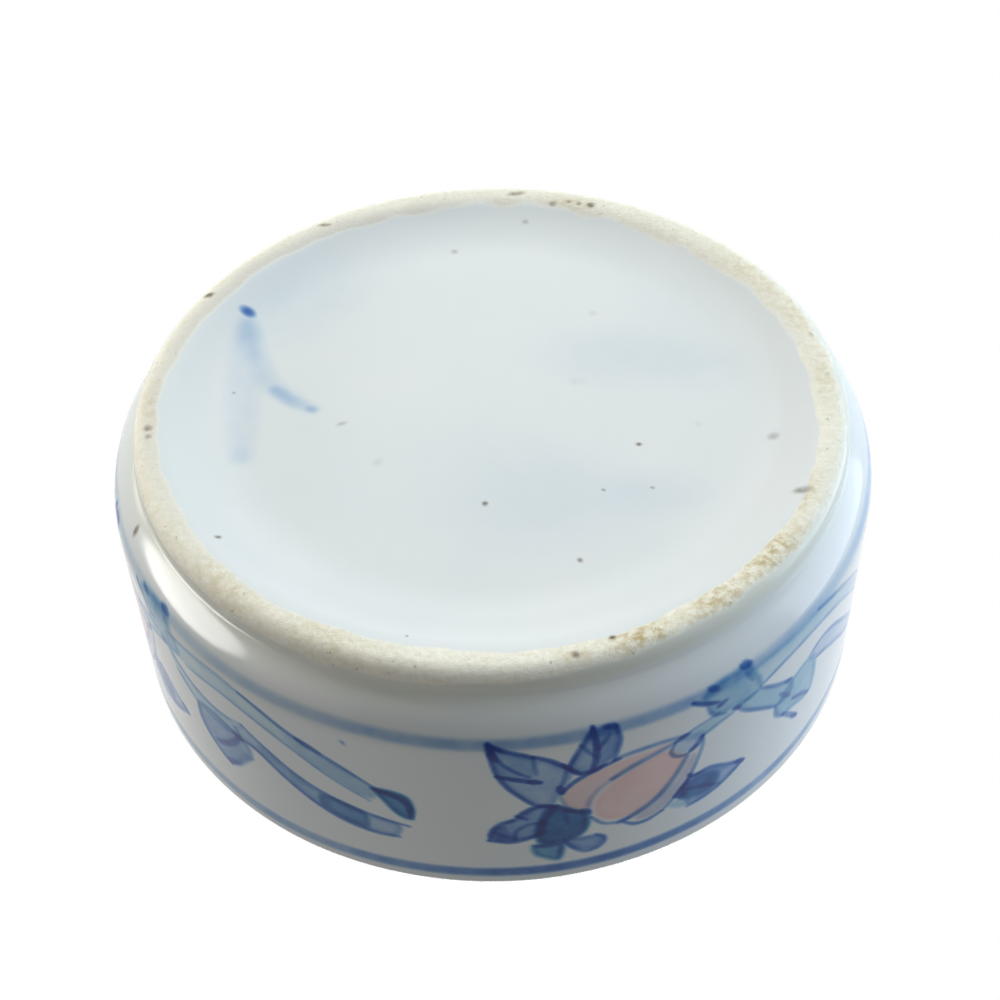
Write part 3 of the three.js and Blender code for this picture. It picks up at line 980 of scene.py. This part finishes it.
def porcelain(name):
    """White porcelain with brushed pigment under a clear glaze, and clay where the glaze was wiped off."""
    material = bpy.data.materials.new(name)
    n = Nodes(material)
    cloud = n.noise(45, 3)
    grain = n.noise(1700, 5, 0.7)
    bare = n.layer("bare")
    colour = n.mix(bare, glaze_colour(n, cloud), biscuit_colour(n, grain, bare))
    iron = n.times(n.layer("dark"), n.map(n.noise(900, 2), 0.3, 0.6, 0.45, 0.95))
    colour = n.mix(iron, colour, IRON)

    shader = n.add("ShaderNodeBsdfPrincipled")
    n.link(colour, shader.inputs["Base Color"])
    rough = n.add("ShaderNodeMix", data_type="FLOAT")
    n.link(bare, rough.inputs[0])
    n.link(n.map(cloud, 0.3, 0.7, 0.1, 0.17), rough.inputs[2])
    rough.inputs[3].default_value = 0.85
    n.link(rough.outputs[0], shader.inputs["Roughness"])
    shader.inputs["IOR"].default_value = 1.5
    shader.inputs["Specular IOR Level"].default_value = 0.12
    ripple = n.bump(n.noise(160, 2), 0.0002, 0.12)
    n.link(n.bump(grain, 0.0001, bare, ripple), shader.inputs["Normal"])
    output = n.add("ShaderNodeOutputMaterial")
    n.link(shader.outputs["BSDF"], output.inputs["Surface"])
    return material


# Stage

def floor_material():
    """A pale floor that only the camera sees, and only from above, so the underside can be seen through it.
    The windows stand lower than the floor, so the soft shadow round the foot is painted on it."""
    material = bpy.data.materials.new("pale_floor")
    n = Nodes(material)
    away = n.add("ShaderNodeVectorMath", operation="LENGTH")
    n.link(n.add("ShaderNodeTexCoord").outputs["Object"], away.inputs[0])
    distance = away.outputs["Value"]
    # Painted shadow: deep at the foot, a wider soft one round it, and a slow painted darkening nearer the
    # box from over a metre off
    contact = n.map(distance, 0.034, 0.044, 0.55, 1.0, "SMOOTHSTEP")
    wide = n.map(distance, 0.034, 0.13, 0.78, 1.0, "SMOOTHSTEP")
    far = n.map(distance, 0.2, 1.2, 0.86, 1.0, "SMOOTHSTEP")
    pale = n.times(n.times(contact, wide), far)
    shader = n.add("ShaderNodeEmission")
    n.link(n.times(pale, n.add("ShaderNodeLightPath").outputs["Is Camera Ray"]), shader.inputs["Strength"])
    clear = n.add("ShaderNodeBsdfTransparent")
    mix = n.add("ShaderNodeMixShader")
    n.link(n.add("ShaderNodeNewGeometry").outputs["Backfacing"], mix.inputs[0])
    n.link(shader.outputs["Emission"], mix.inputs[1])
    n.link(clear.outputs["BSDF"], mix.inputs[2])
    output = n.add("ShaderNodeOutputMaterial")
    n.link(mix.outputs["Shader"], output.inputs["Surface"])
    return material


def floor():
    """The table, a hair under the foot. Only the camera sees it, so the underside keeps its light."""
    half = FLOOR_HALF
    top = -FLOOR_DROP * MM
    mesh = bpy.data.meshes.new("floor")
    corners = [(-half, -half, top), (half, -half, top), (half, half, top), (-half, half, top)]
    mesh.from_pydata(corners, [], [(0, 1, 2, 3)])
    piece = bpy.data.objects.new("floor", mesh)
    bpy.context.scene.collection.objects.link(piece)
    piece.data.materials.append(floor_material())
    piece.visible_diffuse = False
    piece.visible_glossy = False
    piece.visible_transmission = False
    piece.visible_shadow = False


def lamp(name, place, size, power, colour, shape="RECTANGLE"):
    """A soft lamp that faces the box."""
    light = bpy.data.lights.new(name, "AREA")
    light.shape = shape
    light.size, light.size_y = size
    light.energy = power
    light.color = colour
    piece = bpy.data.objects.new(name, light)
    piece.location = place
    middle = Vector((0.0, 0.0, BODY_HEIGHT / 2 * MM))
    piece.rotation_euler = (middle - Vector(place)).to_track_quat("-Z", "Y").to_euler()
    bpy.context.scene.collection.objects.link(piece)
    return piece


def lights():
    """The lamps, and the patch that is only reflected."""
    for name, place, size, power, colour in LAMPS:
        lamp(name, place, size, power, colour)
    glow = lamp(*GLOW, shape="ELLIPSE")
    glow.visible_diffuse = False


def world():
    """White for the camera and in reflections, and a dimmer even light on the object."""
    scene = bpy.context.scene
    scene.world = bpy.data.worlds.new("studio")
    scene.world.use_nodes = True
    tree = scene.world.node_tree
    tree.nodes.clear()
    path = tree.nodes.new("ShaderNodeLightPath")
    seen = path.outputs["Is Camera Ray"]
    for ray in ("Is Glossy Ray", "Is Transmission Ray"):
        either = tree.nodes.new("ShaderNodeMath")
        either.operation = "MAXIMUM"
        tree.links.new(seen, either.inputs[0])
        tree.links.new(path.outputs[ray], either.inputs[1])
        seen = either.outputs["Value"]
    plain = tree.nodes.new("ShaderNodeBackground")
    plain.inputs["Strength"].default_value = AMBIENT
    white = tree.nodes.new("ShaderNodeBackground")
    white.inputs["Color"].default_value = (1, 1, 1, 1)
    mix = tree.nodes.new("ShaderNodeMixShader")
    tree.links.new(seen, mix.inputs[0])
    tree.links.new(plain.outputs[0], mix.inputs[1])
    tree.links.new(white.outputs[0], mix.inputs[2])
    output = tree.nodes.new("ShaderNodeOutputWorld")
    tree.links.new(mix.outputs[0], output.inputs["Surface"])


def camera():
    """Looks at the underside from in front and below, as the photograph does, with the box upside down."""
    data = bpy.data.cameras.new("camera")
    data.sensor_width = SENSOR_WIDTH
    data.lens = LENS
    data.clip_start = 0.005
    piece = bpy.data.objects.new("camera", data)
    right = Vector(CAMERA_RIGHT).normalized()
    forward = Vector(CAMERA_FORWARD).normalized()
    up = right.cross(forward).normalized()
    right = forward.cross(up)
    turn = Matrix((right, up, -forward)).transposed().to_4x4()
    piece.matrix_world = Matrix.Translation(Vector(CAMERA_PLACE) * MM) @ turn
    bpy.context.scene.collection.objects.link(piece)
    bpy.context.scene.camera = piece


def dress(name, node, body, profile, paint):
    """A painted piece that takes the place of a solid and rides its body."""
    piece = turned(name, profile, paint)
    piece.data.materials.append(porcelain(name + "_glaze"))
    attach(piece, body)
    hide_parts(node)


def main():
    bpy.context.scene.view_settings.view_transform = "Standard"
    camera()
    world()
    floor()
    lights()
    dress("painted_body", "box_body", "box", body_profile(), paint_body)
    dress("painted_lid", "lid", "cover", lid_profile(), paint_lid)


main()
